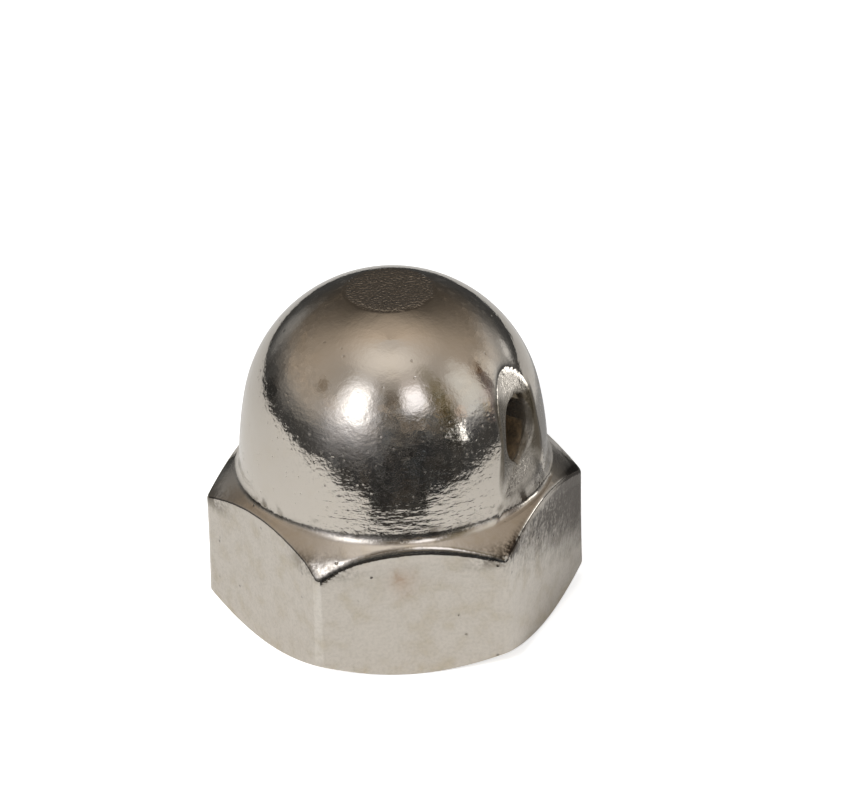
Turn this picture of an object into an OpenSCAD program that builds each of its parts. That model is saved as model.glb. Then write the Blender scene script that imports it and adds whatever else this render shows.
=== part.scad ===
// Domed cap nut, M10, with a window scooped in the side of its dome. One solid piece.
// Frame: millimetres, +Z up along the thread, origin at the centre of the bearing face.
// One flat of the hexagon faces -Y, and two of its corners lie on the X axis.

/* [Hexagon] */
// Width across the flats, which is the spanner size
across_flats = 17; // [14:0.1:21]
// Height of the shoulder where it meets the dome
hex_height = 7.9; // [6:0.1:9.5]
// Slope of the shoulder, which trims the upper corners
shoulder_angle = 37.8; // [20:0.1:45]
// Slope of the chamfer on the lower corners
foot_angle = 33.3; // [20:0.1:45]
// How far the circle of the bearing face lies inside the flats
foot_inset = 0.24; // [0.1:0.01:0.8]

/* [Dome] */
// Height of the whole nut, from the bearing face to the crown
total_height = 18; // [17:0.1:22]
// Width of the ledge by which each flat stands out past the dome
ledge = 0.5; // [0.4:0.05:1]
// How much smaller the crown's ball is in radius than the foot of the dome
ball_inset = 0.25; // [0.15:0.05:1.5]
// Diameter of the flat left on the crown
crown_flat = 4.5; // [1:0.1:7]
// Radius of the hollow corner between the shoulder and the dome
base_fillet = 0.8; // [0.3:0.1:0.8]

/* [Threaded hole] */
// Diameter of the hole that is drilled for the thread
tap_drill = 8.5; // [7:0.1:10.2]
// Included angle of the drill's point
point_angle = 118; // [100:1:140]
// Thickness of the metal between the drill's point and the crown
crown_wall = 1.85; // [1:0.05:4]
// Diameter of the countersunk mouth
mouth_diameter = 10.8; // [10.4:0.1:13]
// Included angle of the countersink
mouth_angle = 90; // [60:5:120]

/* [Side window] */
// Direction that the window faces, turned from -Y towards +X
window_azimuth = 54.8; // [0:0.1:360]
// Lean of the window's upper end away from the upright, towards +X
window_lean = 5; // [-10:0.5:10]
// Width of the scooped recess around the window
recess_width = 3.5; // [3:0.1:4.4]
// Depth of the recess below the side of the dome
recess_depth = 0.45; // [0.35:0.05:0.6]
// Height of the recess's lower end above the shoulder
recess_gap = 0.25; // [0:0.05:1]
// Width of the lens-shaped slot that opens into the threaded hole
slot_width = 2.1; // [1.5:0.1:2.6]
// Length of the slot from point to point
slot_length = 3.7; // [2.8:0.1:4.5]
// How far the slot's middle lies below the end of the hole's straight wall
slot_drop = 1.8; // [1.8:0.05:4]

/* [Hidden] */
$fn = 128;

// How far a cutting tool reaches past the surface that it cuts
over = 1;

corner_radius = across_flats / 2 / cos(30);
dome_radius = across_flats / 2 - ledge;
foot_radius = across_flats / 2 - foot_inset;
bore_radius = tap_drill / 2;
mouth_radius = mouth_diameter / 2;

// The ball's centre lies on the axis, and the crown's flat cuts it at the full height
ball_radius = dome_radius - ball_inset;
ball_z = total_height - sqrt(pow(ball_radius, 2) - pow(crown_flat / 2, 2));

// The side of the dome is an arc, upright at the shoulder, that meets the ball in a tangent
side_rise = ball_z - hex_height;
side_radius = (pow(dome_radius, 2) + pow(side_rise, 2) - pow(ball_radius, 2)) / (2 * ball_inset);
side_center = dome_radius - side_radius;
tangent_angle = atan(side_rise / -side_center);

// The fillet's circle touches the arc of the side and the slope of the shoulder.
// fillet_out and fillet_up lead from the foot of the dome to the circle's centre.
fillet_a = 1 / pow(cos(shoulder_angle), 2);
fillet_b = 2 * side_radius - 2 * base_fillet * sin(shoulder_angle) * fillet_a;
fillet_c = pow(base_fillet, 2) * (fillet_a - 1) - 2 * side_radius * base_fillet;
fillet_out = (sqrt(pow(fillet_b, 2) - 4 * fillet_a * fillet_c) - fillet_b) / (2 * fillet_a);
fillet_up = (base_fillet - fillet_out * sin(shoulder_angle)) / cos(shoulder_angle);

// The hole ends so far below the crown that the drill's point leaves the crown its wall
point_height = bore_radius / tan(point_angle / 2);
drill_depth = total_height - crown_wall - point_height;
mouth_depth = (mouth_radius - bore_radius) / tan(mouth_angle / 2);

// The recess is round-bottomed: its radius gives the width at the depth, on the dome's foot
recess_sagitta = recess_depth - dome_radius + sqrt(pow(dome_radius, 2) - pow(recess_width / 2, 2));
recess_radius = (pow(recess_width / 2, 2) + pow(recess_sagitta, 2)) / (2 * recess_sagitta);
recess_bottom = hex_height + recess_gap;

// The slot's outline is the lens that two equal circles share
lens_radius = (pow(slot_length, 2) + pow(slot_width, 2)) / (4 * slot_width);
slot_z = drill_depth - slot_drop;

// Half of the section of the hexagon's part, between the chamfers of its corners
module hexagon_section() {
    rim = corner_radius + over;
    polygon([
        [0, 0],
        [foot_radius, 0],
        [rim, (rim - foot_radius) * tan(foot_angle)],
        [rim, hex_height - (rim - dome_radius) * tan(shoulder_angle)],
        [dome_radius, hex_height],
        [0, hex_height]
    ]);
}

// The hollow corner at the foot of the dome
module fillet_section() {
    slope_touch = [fillet_out - base_fillet * sin(shoulder_angle),
        fillet_up - base_fillet * cos(shoulder_angle)];
    translate([dome_radius, hex_height])
        difference() {
            polygon([[-over, 0], [0, 0], slope_touch, [fillet_out, fillet_up], [-over, fillet_up]]);
            translate([fillet_out, fillet_up])
                circle(base_fillet);
        }
}

// Half of the section of the dome: the ball above, and the arc of the side below the tangent
module dome_section() {
    reach = side_radius + over;
    intersection() {
        translate([0, hex_height])
            square([dome_radius, total_height - hex_height]);
        union() {
            translate([0, ball_z])
                circle(ball_radius);
            intersection() {
                translate([side_center, hex_height])
                    circle(side_radius);
                translate([side_center, hex_height])
                    polygon([[0, 0], [reach, 0], [reach, reach * tan(tangent_angle)]]);
            }
        }
    }
}

// The solid nut: a hexagonal bar turned down to the sections above
module blank() {
    intersection() {
        linear_extrude(total_height)
            circle(corner_radius, $fn = 6);
        rotate_extrude()
            union() {
                hexagon_section();
                fillet_section();
                dome_section();
            }
    }
}

// The blind hole with its drilled point and its countersunk mouth
module threaded_hole() {
    translate([0, 0, -over])
        cylinder(r = bore_radius, h = drill_depth + over);
    translate([0, 0, drill_depth])
        cylinder(r1 = bore_radius, r2 = 0, h = point_height);
    mouth_reach = over * tan(mouth_angle / 2);
    translate([0, 0, -over])
        cylinder(r1 = mouth_radius + mouth_reach, r2 = bore_radius, h = mouth_depth + over);
}

// The shallow channel that follows the arc of the dome's side, drawn facing -Y
module recess() {
    intersection() {
        translate([0, -side_center, hex_height])
            rotate([0, 90, 0])
                rotate_extrude()
                    translate([side_radius - recess_depth + recess_radius, 0])
                        circle(recess_radius);
        translate([-dome_radius, -dome_radius - over, recess_bottom])
            cube([2 * dome_radius, dome_radius, total_height - recess_bottom]);
    }
}

// The lens-shaped slot from the recess into the hole, drawn facing -Y
module slot() {
    shift = lens_radius - slot_width / 2;
    translate([0, 0, slot_z])
        rotate([90, 0, 0])
            linear_extrude(dome_radius + over)
                intersection() {
                    translate([-shift, 0])
                        circle(lens_radius);
                    translate([shift, 0])
                        circle(lens_radius);
                }
}

module window() {
    rotate([0, 0, window_azimuth])
        translate([0, 0, slot_z])
            rotate([0, window_lean, 0])
                translate([0, 0, -slot_z])
                    union() {
                        recess();
                        slot();
                    }
}

module cap_nut() {
    color("#b9b3a8")
        difference() {
            blank();
            threaded_hole();
            window();
        }
}

cap_nut();
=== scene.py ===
"""A nickel-plated M10 cap nut on a pale table: the finished looks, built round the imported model."""

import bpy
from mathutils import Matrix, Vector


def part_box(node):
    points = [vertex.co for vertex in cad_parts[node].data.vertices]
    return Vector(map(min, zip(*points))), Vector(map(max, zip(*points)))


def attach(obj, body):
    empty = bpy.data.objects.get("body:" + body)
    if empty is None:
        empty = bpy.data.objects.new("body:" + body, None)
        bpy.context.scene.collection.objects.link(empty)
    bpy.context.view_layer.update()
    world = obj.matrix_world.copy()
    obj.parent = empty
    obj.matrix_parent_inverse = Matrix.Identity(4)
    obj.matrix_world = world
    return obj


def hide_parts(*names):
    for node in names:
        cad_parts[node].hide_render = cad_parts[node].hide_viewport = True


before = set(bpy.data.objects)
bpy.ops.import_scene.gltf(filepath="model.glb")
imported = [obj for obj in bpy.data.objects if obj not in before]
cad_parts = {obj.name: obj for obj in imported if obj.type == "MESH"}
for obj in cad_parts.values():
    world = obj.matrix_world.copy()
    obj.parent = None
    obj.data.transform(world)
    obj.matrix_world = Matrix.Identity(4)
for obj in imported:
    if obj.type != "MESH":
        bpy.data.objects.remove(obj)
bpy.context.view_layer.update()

import ast
import logging
import math
from collections.abc import Mapping
from dataclasses import asdict, dataclass, field
from enum import IntEnum

import bmesh
import bpy
import numpy as np
from mathutils import Euler, Vector

log = logging.getLogger("cap_nut")

MM = 0.001
QUARTER = math.pi / 2
SIXTH = math.pi / 3
# What each point of the nut's flat pattern is marked with.
MARKS = ("turn", "level", "hand", "inward")
WHITE = "#FFFFFF"

# The Math node that each operator and each function of a rule becomes.
OPERATORS = {
    ast.Add: "ADD",
    ast.Sub: "SUBTRACT",
    ast.Mult: "MULTIPLY",
    ast.Div: "DIVIDE",
    ast.Pow: "POWER",
}
FUNCTIONS = {
    "abs": "ABSOLUTE",
    "asin": "ARCSINE",
    "atan2": "ARCTAN2",
    "cos": "COSINE",
    "exp": "EXPONENT",
    "floor": "FLOOR",
    "fract": "FRACT",
    "less": "LESS_THAN",
    "max": "MAXIMUM",
    "min": "MINIMUM",
    "sin": "SINE",
    "soft_min": "SMOOTH_MIN",
    "sqrt": "SQRT",
    "tan": "TANGENT",
}

Value = float | bpy.types.NodeSocket
Point = tuple[float, float, float]


def add(
    tree: bpy.types.NodeTree, kind: str, feeds: Mapping[str | int, object] | None = None, **settings: object
) -> bpy.types.Node:
    """Add one node to a tree, set it up and feed its inputs.

    Args:
        tree: The tree that gets the node.
        kind: The node's type name.
        feeds: What goes into each input, by name or number: a socket to link, or a plain value.
        **settings: The node's own settings.

    Returns:
        The new node.
    """
    node = tree.nodes.new(kind)
    for name, value in settings.items():
        setattr(node, name, value)
    for key, value in (feeds or {}).items():
        if isinstance(value, bpy.types.NodeSocket):
            tree.links.new(value, node.inputs[key])
        else:
            node.inputs[key].default_value = value
    return node


def work_out(tree: bpy.types.NodeTree, rules: str, known: Mapping[str, Value]) -> dict[str, Value]:
    """Turn lines of arithmetic into Math nodes.

    Args:
        tree: The tree that gets the nodes.
        rules: Lines such as ``reach = half / cos(turn)``. A line may use the names of the lines above it.
            ``rise(value, low, high)`` climbs smoothly from 0 at low to 1 at high, and ``less(a, b)`` is 1
            where a is below b and 0 elsewhere.
        known: The values that the rules start from, by name.

    Returns:
        Every known and worked out value, by name.
    """
    values = dict(known)

    def value_of(part: ast.expr) -> Value:
        """Turn one part of a rule into its node.

        Args:
            part: A number, a name, a sum or a call, as parsed.

        Returns:
            The number or the socket that stands for the part.
        """
        if isinstance(part, ast.Constant):
            return float(part.value)
        if isinstance(part, ast.Name):
            return values[part.id]
        if isinstance(part, ast.UnaryOp):
            parts, operation = [ast.Constant(0.0), part.operand], "SUBTRACT"
        elif isinstance(part, ast.BinOp):
            parts, operation = [part.left, part.right], OPERATORS[type(part.op)]
        elif part.func.id == "rise":
            feeds = dict(zip(("Value", "From Min", "From Max"), map(value_of, part.args)))
            return add(tree, "ShaderNodeMapRange", feeds, interpolation_type="SMOOTHSTEP").outputs[0]
        else:
            parts, operation = part.args, FUNCTIONS[part.func.id]
        feeds = {place: value_of(each) for place, each in enumerate(parts)}
        return add(tree, "ShaderNodeMath", feeds, operation=operation).outputs[0]

    for line in ast.parse(rules).body:
        values[line.targets[0].id] = value_of(line.value)
    return values


def linear(hex_colour: str) -> tuple[float, float, float, float]:
    """Turn an sRGB hex colour such as ``#D4CDC1`` into linear RGBA."""
    parts = [int(hex_colour[place : place + 2], 16) / 255 for place in (1, 3, 5)]
    return (*(c / 12.92 if c <= 0.04045 else ((c + 0.055) / 1.055) ** 2.4 for c in parts), 1.0)


def open_tree(
    name: str, sizes: Mapping[str, float], takes_mesh: bool
) -> tuple[bpy.types.NodeTree, dict[str, Value]]:
    """Start a Geometry Nodes tree that has a named input for each size.

    Args:
        name: The tree's name.
        sizes: The inputs' names and default values.
        takes_mesh: Whether the tree also takes a mesh to shape.

    Returns:
        The tree, and its input sockets by name.
    """
    tree = bpy.data.node_groups.new(name, "GeometryNodeTree")
    if takes_mesh:
        tree.interface.new_socket("mesh", in_out="INPUT", socket_type="NodeSocketGeometry")
    for size, value in sizes.items():
        tree.interface.new_socket(size, in_out="INPUT", socket_type="NodeSocketFloat").default_value = value
    tree.interface.new_socket("mesh", in_out="OUTPUT", socket_type="NodeSocketGeometry")
    entry = add(tree, "NodeGroupInput")
    return tree, {socket.name: socket for socket in entry.outputs if socket.name}


class Band(IntEnum):
    """The bands of the outside, from the middle of the bearing face to the middle of the crown."""

    BASE = 0
    BEARING = 1
    FOOT_EDGE = 2
    FOOT_CONE = 3
    CONE_EDGE = 4
    FLAT = 5
    RIM_EDGE = 6
    SHOULDER = 7
    FILLET = 8
    SIDE_LOW = 9
    SLOT_LOW = 10
    SLOT_HIGH = 11
    BALL = 12
    CROWN = 13


# How many rows of faces each band has: few on what is plain, many round the slot and up the ball.
ROWS = {
    Band.BASE: 1,
    Band.BEARING: 1,
    Band.FOOT_EDGE: 3,
    Band.FOOT_CONE: 5,
    Band.CONE_EDGE: 5,
    Band.FLAT: 14,
    Band.RIM_EDGE: 6,
    Band.SHOULDER: 6,
    Band.FILLET: 9,
    Band.SIDE_LOW: 22,
    Band.SLOT_LOW: 25,
    Band.SLOT_HIGH: 20,
    Band.BALL: 44,
    Band.CROWN: 5,
}


@dataclass
class SideWindow:
    """The scooped recess on the dome's side and the pointed slot in it, in millimetres and radians.

    The slot is a leaf, slot_half long and slot_side wide to each side of its middle, blunter at its top
    than at its foot. It leans with the recess and stands a little aside and aslant in it. The skin up to
    opening from its middle makes way for it. Its rim rolls in over lip_round, and its wall ends at wall_end
    from the nut's axis, inside the tapped hole. The recess widens and fades out downwards.
    """

    window_turn: float = math.radians(-35.2)
    lean: float = math.radians(5.0)
    slot_z: float = 11.66
    slot_half: float = 1.66
    slot_side: float = 1.15
    slot_top: float = 0.42
    slot_point: float = 0.72
    slot_shift: float = 0.16
    slot_slant: float = 0.2
    recess_half: float = 1.75
    recess_widen: float = 0.15
    recess_depth: float = 0.45
    recess_fade_from: float = 10.8
    recess_fade_to: float = 8.3
    recess_edge: float = 0.10
    lip_round: float = 0.3
    opening: float = 2.2
    wall_end: float = 3.3

    @property
    def slot_low_z(self) -> float:
        """The height of the slot's lower point."""
        return self.slot_z - self.slot_half * math.cos(self.lean)

    @property
    def slot_high_z(self) -> float:
        """The height of the slot's upper point."""
        return self.slot_z + self.slot_half * math.cos(self.lean)


@dataclass
class TappedHole:
    """The blind tapped hole: a countersunk mouth, an M10 x 1.5 thread and a drill point, in millimetres.

    The thread is full up to full_thread_to and has run out at thread_end, below the drilled wall's top.
    """

    minor_radius: float = 4.25
    major_radius: float = 5.0
    pitch: float = 1.5
    mouth_radius: float = 5.4
    tip: float = 16.15
    point_angle: float = math.radians(118.0)
    full_thread_to: float = 11.4
    thread_end: float = 13.2
    clear_below: float = 1.0
    weld: float = 0.002
    rows_per_turn: int = 12
    point_rows: int = 12
    columns: int = 112
    wall_top: float = field(init=False)
    start: float = field(init=False)

    RULES = """
# The sheet wraps once round the axis, and its rows climb by one pitch on the way.
part = across + 0.5
turn = part * full_turn
climb = start - pitch + (along + 0.5) * (wall_top - start + pitch)
z = min(max(climb + part * pitch, start), wall_top)
# A 60 degree thread, whose root is a flat an eighth of the pitch wide.
from_root = abs(fract(climb / pitch) - 0.5) * pitch
profile = major_radius - (from_root - pitch / 16) * sqrt(3)
runout = minor_radius + (thread_end - z) / (thread_end - full_thread_to) * (major_radius - minor_radius)
thread = max(minor_radius, min(min(profile, runout), major_radius))
# The 90 degree countersink loses as much radius as it gains height.
r = max(thread, mouth_radius - z)
x = r * cos(turn)
y = r * sin(turn)
foot_radius = mouth_radius - start
point_height = minor_radius / tan(point_angle / 2)
"""

    def __post_init__(self) -> None:
        """Place the drilled wall's top under the drill point, and the cutter's lower end below the nut.

        The two ends are a whole number of rows apart, so that the helix closes on itself at its seam.
        """
        self.wall_top = self.tip - self.minor_radius / math.tan(self.point_angle / 2)
        step = self.pitch / self.rows_per_turn
        self.start = self.wall_top - math.ceil((self.wall_top + self.clear_below) / step) * step

    def tree(self) -> bpy.types.NodeTree:
        """Build the tree of the cutter that the hole is cut with.

        Returns:
            A tree that makes one closed mesh, whose rows climb with the helix of the thread.
        """
        sizes = {name: value for name, value in vars(self).items() if isinstance(value, float)}
        tree, known = open_tree("tapped hole cutter", sizes, takes_mesh=False)
        rows = round((self.wall_top - self.start + self.pitch) / self.pitch * self.rows_per_turn)
        feeds = {"Size X": 1.0, "Size Y": 1.0, "Vertices X": self.columns + 1, "Vertices Y": rows + 1}
        sheet = add(tree, "GeometryNodeMeshGrid", feeds)
        place = add(tree, "ShaderNodeSeparateXYZ", {0: add(tree, "GeometryNodeInputPosition").outputs[0]})
        known |= {"across": place.outputs[0], "along": place.outputs[1], "full_turn": 2 * math.pi}
        named = work_out(tree, self.RULES, known)
        spot = add(tree, "ShaderNodeCombineXYZ", {0: named["x"], 1: named["y"], 2: named["z"]})
        feeds = {"Geometry": sheet.outputs[0], "Position": spot.outputs[0]}
        wall = add(tree, "GeometryNodeSetPosition", feeds)

        feeds = {"Vertices": self.columns, "Radius": named["foot_radius"]}
        disc = add(tree, "GeometryNodeMeshCircle", feeds, fill_type="TRIANGLE_FAN")
        down = add(tree, "ShaderNodeCombineXYZ", {2: named["start"]})
        feeds = {"Geometry": disc.outputs[0], "Translation": down.outputs[0]}
        low = add(tree, "GeometryNodeTransform", feeds)
        lid = add(tree, "GeometryNodeFlipFaces", {0: low.outputs[0]})

        feeds = {
            "Vertices": self.columns,
            "Side Segments": self.point_rows,
            "Radius Top": 0.0,
            "Radius Bottom": named["minor_radius"],
            "Depth": named["point_height"],
        }
        cone = add(tree, "GeometryNodeMeshCone", feeds, fill_type="NONE")
        up = add(tree, "ShaderNodeCombineXYZ", {2: named["wall_top"]})
        feeds = {"Geometry": cone.outputs[0], "Translation": up.outputs[0]}
        point = add(tree, "GeometryNodeTransform", feeds)

        both = add(tree, "GeometryNodeJoinGeometry")
        for each in (wall, lid, point):
            tree.links.new(each.outputs[0], both.inputs[0])
        feeds = {"Geometry": both.outputs[0], "Distance": named["weld"]}
        closed = add(tree, "GeometryNodeMergeByDistance", feeds)
        add(tree, "NodeGroupOutput", {0: closed.outputs[0]})
        return tree


@dataclass
class CapNut:
    """The nut's outside: a bevelled hexagon that a fillet joins to a domed cap.

    Sizes are in millimetres and radians. The shoulder and the foot are cones. Each edge is rounded over:
    foot_round and cone_round at the foot, rim_round at the hexagon's upper rim, and at the hexagon's
    corners corner_round half way up and tip_round at the ends. A light blow has left a small facet on the
    top of the front left corner. Edges that bend by more than crisp_from are shaded crisp.
    """

    hex_height: float = 7.9
    dome_radius: float = 8.0
    shoulder: float = math.radians(37.8)
    foot: float = math.radians(33.3)
    foot_radius: float = 8.26
    ball_inset: float = 0.25
    crown_radius: float = 2.25
    fillet_radius: float = 0.8
    foot_round: float = 0.2
    cone_round: float = 0.14
    rim_round: float = 0.64
    corner_round: float = 0.6
    tip_round: float = 0.45
    bearing_rim: float = 0.15
    corner_crowding: float = 0.65
    ball_crowding: float = 1.35
    crisp_from: float = 0.5
    columns: int = 432
    slot_rows: int = 7
    struck_turn: float = math.radians(-113.0)
    struck_rise: float = math.radians(32.0)
    struck_at: float = 11.44
    window: SideWindow = field(default_factory=SideWindow)
    hole: TappedHole = field(default_factory=TappedHole)

    # Sizes that the tree knows only by what is worked out from them.
    FOLDED_IN = ("ball_inset", "ball_crowding", "recess_half", "recess_depth")

    def __post_init__(self) -> None:
        """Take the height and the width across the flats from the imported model."""
        low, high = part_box("cap_nut")
        self.top = (high.z - low.z) / MM
        self.half = (high.y - low.y) / MM / 2

    def dome_sizes(self) -> dict[str, float]:
        """Work out the arcs of the dome's profile, each tangent to the next.

        Returns:
            The centres, radii and touching points of the side arc, the ball and the fillet.
        """
        ball_radius = self.dome_radius - self.ball_inset
        ball_z = self.top - math.sqrt(ball_radius**2 - self.crown_radius**2)
        rise = ball_z - self.hex_height
        side_radius = (self.dome_radius**2 + rise**2 - ball_radius**2) / (2 * self.ball_inset)
        side_center = self.dome_radius - side_radius
        touch = math.atan2(rise, -side_center)
        ball_foot_z = ball_z + ball_radius * math.sin(touch)
        sine, cosine = math.sin(self.shoulder), math.cos(self.shoulder)
        slide = math.sqrt((side_radius * cosine) ** 2 + 2 * side_radius * self.fillet_radius * (1 - sine))
        slide -= side_radius * cosine
        fillet_r = self.dome_radius + self.fillet_radius * sine + slide * cosine
        fillet_z = self.hex_height + self.fillet_radius * cosine - slide * sine
        swing = math.atan2(fillet_z - self.hex_height, fillet_r - side_center)
        fillet_from = 3 * QUARTER - self.shoulder
        return {
            "ball_radius": ball_radius,
            "ball_z": ball_z,
            "side_radius": side_radius,
            "side_center": side_center,
            "ball_foot_z": ball_foot_z,
            "fillet_r": fillet_r,
            "fillet_z": fillet_z,
            "fillet_from": fillet_from,
            "fillet_turn": math.pi + swing - fillet_from,
            "touch_r": self.dome_radius + slide * cosine,
            "side_foot_z": self.hex_height + side_radius * math.sin(swing),
            "ball_from": math.asin((self.window.slot_high_z - ball_z) / ball_radius),
            "ball_to": math.acos(self.crown_radius / ball_radius),
        }

    def recess_sizes(self, side_radius: float) -> dict[str, float]:
        """Work out the ring-shaped cutter of the recess, which keeps an even depth along the side arc.

        Args:
            side_radius: The radius of the dome's side arc.

        Returns:
            The radius of the cutter's tube, and how far its middle lies from the side arc's centre.
        """
        half, depth = self.window.recess_half, self.window.recess_depth
        sag = depth - self.dome_radius + math.sqrt(self.dome_radius**2 - half**2)
        tube = (half**2 + sag**2) / (2 * sag)
        return {"recess_radius": tube, "recess_reach": side_radius - depth + tube}

    def sizes(self) -> dict[str, float]:
        """Gather the sizes that the outside's tree and its finish take.

        Returns:
            The sizes by name: the nut's, the recess's and the slot's own, and what is worked out from them.
        """
        window, dome = self.window, self.dome_sizes()
        ends = {"slot_low_z": window.slot_low_z, "slot_high_z": window.slot_high_z}
        every = vars(self) | vars(window) | dome | self.recess_sizes(dome["side_radius"]) | ends
        return {
            name: value
            for name, value in every.items()
            if isinstance(value, float) and name not in self.FOLDED_IN
        }

    def levels(self) -> np.ndarray:
        """Place the rows, closer together at the ends of the cones and the flat, and at the ball's foot.

        Returns:
            Each row's level: its band's number plus the share of the band that lies below it.
        """
        rows = []
        for band, count in ROWS.items():
            share = np.arange(count) / count
            if band in (Band.FOOT_CONE, Band.FLAT, Band.SHOULDER):
                share = (1 - np.cos(math.pi * share)) / 2
            if band is Band.BALL:
                share = share**self.ball_crowding
            rows.append(band + share)
        return np.concatenate(rows)

    def pattern(self) -> bpy.types.Object:
        """Make the flat pattern that the tree shapes: rows from foot to crown, slit open where the slot is.

        Returns:
            An object whose mesh marks each point with its turn, its level, its side of the slit and how
            far in along the slot's wall it lies.
        """
        levels = self.levels()[1:]
        count, columns = len(levels), self.columns
        turn = np.arange(columns) / columns * 2 * math.pi
        turn = np.where(turn > math.pi, turn - 2 * math.pi, turn)
        points = [(t, level, math.copysign(1, t), 0.0) for level in levels for t in turn]
        right = np.arange(count * columns).reshape(count, columns)
        left = right.copy()
        low = int(np.argmin(abs(levels - Band.SLOT_LOW)))
        high = int(np.argmin(abs(levels - Band.BALL)))
        # Between the slot's two ends, each row gets a second point at turn 0, so the sheet can part there.
        for row in range(low + 1, high):
            left[row, 0] = len(points)
            points.append((0.0, levels[row], -1.0, 0.0))
        faces = []
        for row in range(count - 1):
            for column in range(columns):
                after = (column + 1) % columns
                ends = left if after == 0 else right
                near, far = right[row : row + 2, column], ends[row : row + 2, after]
                faces.append((near[0], far[0], far[1], near[1]))
        # Fans close the middle of the bearing face and of the crown.
        for level, row, turned in ((0.0, 0, False), (float(Band.CROWN + 1), count - 1, True)):
            pole = len(points)
            points.append((0.0, level, 1.0, 0.0))
            for column in range(columns):
                pair = (right[row, column], right[row, (column + 1) % columns])
                faces.append((*pair, pole) if turned else (*pair[::-1], pole))
        # Rings go in from the slit's rim as the slot's wall, and rungs close the last of them.
        ring = [*right[low : high + 1, 0], *left[low + 1 : high, 0][::-1]]
        size = len(ring)
        for depth in range(1, self.slot_rows + 1):
            below = list(range(len(points), len(points) + size))
            points += [(*points[corner][:3], depth / self.slot_rows) for corner in ring]
            faces += [(ring[i], ring[(i + 1) % size], below[(i + 1) % size], below[i]) for i in range(size)]
            ring = below
        for i in range(high - low):
            face = dict.fromkeys((ring[-i % size], ring[i], ring[i + 1], ring[-(i + 1) % size]))
            faces.append(tuple(face))
        mesh = bpy.data.meshes.new("cap_nut_body")
        table = np.array(points)
        flat = [(turn, level, 0) for turn, level in table[:, :2]]
        mesh.from_pydata(flat, [], [tuple(map(int, face)) for face in faces])
        for name, column in zip(MARKS, table.T):
            mesh.attributes.new(name, "FLOAT", "POINT").data.foreach_set("value", column.astype(np.float32))
        return bpy.data.objects.new("cap_nut_body", mesh)

    # The profile: each band's radius r and height z, over the hexagon's reach at the point's turn.
    RULES = """
band = min(floor(level), crown_band)
v = level - band
hex_turn = flat_turn + turn + corner_crowding / 6 * sin(6 * turn)
# The hexagon's reach from the axis, with its corners rounded off.
corner = abs(fract(hex_turn / sixth + 0.5) - 0.5) * sixth
upright = min(max(level - flat_band, 0), 1)
soft = tip_round + (corner_round - tip_round) * 4 * upright * (1 - upright)
soft_out = (half - soft) / cos(sixth / 2)
soft_end = atan2(soft / 2, soft_out + soft * cos(sixth / 2))
plain = half / cos(sixth / 2 - corner)
soft_off = soft_out * sin(corner)
bowed = soft_out * cos(corner) + sqrt(max(soft * soft - soft_off * soft_off, 0))
reach = plain + (bowed - plain) * less(corner, soft_end)
# The upper rim is softest at the front, and a little softer on the right.
toward_front = (1 + cos(hex_turn + quarter)) / 2
rim = rim_round * (0.42 + 0.58 * toward_front ** 5) + 0.1 * rise(cos(hex_turn), 0.8, 1)
foot_run = foot_round * tan(foot / 2)
cone_run = cone_round * tan((quarter - foot) / 2)
rim_run = rim * tan((quarter - shoulder) / 2)
# The bearing face, the foot cone between its two rounded edges, and the flat.
cone_top = (reach - foot_radius) * tan(foot)
rim_z = hex_height - (reach - dome_radius) * tan(shoulder)
r0 = (foot_radius - foot_run - bearing_rim) * v
z0 = 0 * v
z1 = z0
r1 = foot_radius - foot_run - bearing_rim * (1 - v)
r2 = foot_radius - foot_run + foot_round * sin(foot * v)
z2 = foot_round * (1 - cos(foot * v))
r3_from = foot_radius + foot_run * cos(foot)
r3 = r3_from + (reach - cone_run * cos(foot) - r3_from) * v
z3 = (r3 - foot_radius) * tan(foot)
tilt = foot + (quarter - foot) * v
r4 = reach - cone_run * cos(foot) + cone_round * (sin(tilt) - sin(foot))
z4 = cone_top - cone_run * sin(foot) + cone_round * (cos(foot) - cos(tilt))
r5 = reach
z5 = (cone_top + cone_run) * (1 - v) + (rim_z - rim_run) * v
# The rounded rim, the shoulder cone and the fillet.
r6 = reach - rim * (1 - cos((quarter - shoulder) * v))
z6 = rim_z - rim_run + rim * sin((quarter - shoulder) * v)
r7 = (reach - rim_run * cos(shoulder)) * (1 - v) + touch_r * v
z7 = hex_height - (r7 - dome_radius) * tan(shoulder)
r8 = fillet_r + fillet_radius * cos(fillet_from + fillet_turn * v)
z8 = fillet_z + fillet_radius * sin(fillet_from + fillet_turn * v)
# The side arc up to the slot, the slot's two bands, the ball and the crown.
z9 = side_foot_z * (1 - v) + slot_low_z * v
z10 = slot_low_z * (1 - v) + ball_foot_z * v
z11 = ball_foot_z * (1 - v) + slot_high_z * v
r9 = side_center + sqrt(max(side_radius * side_radius - (z9 - hex_height) * (z9 - hex_height), 0))
r10 = side_center + sqrt(max(side_radius * side_radius - (z10 - hex_height) * (z10 - hex_height), 0))
r11 = sqrt(max(ball_radius * ball_radius - (z11 - ball_z) * (z11 - ball_z), 0))
r12 = ball_radius * cos(ball_from + (ball_to - ball_from) * v)
z12 = ball_z + ball_radius * sin(ball_from + (ball_to - ball_from) * v)
r13 = crown_radius * (1 - v)
z13 = top
"""

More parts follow.
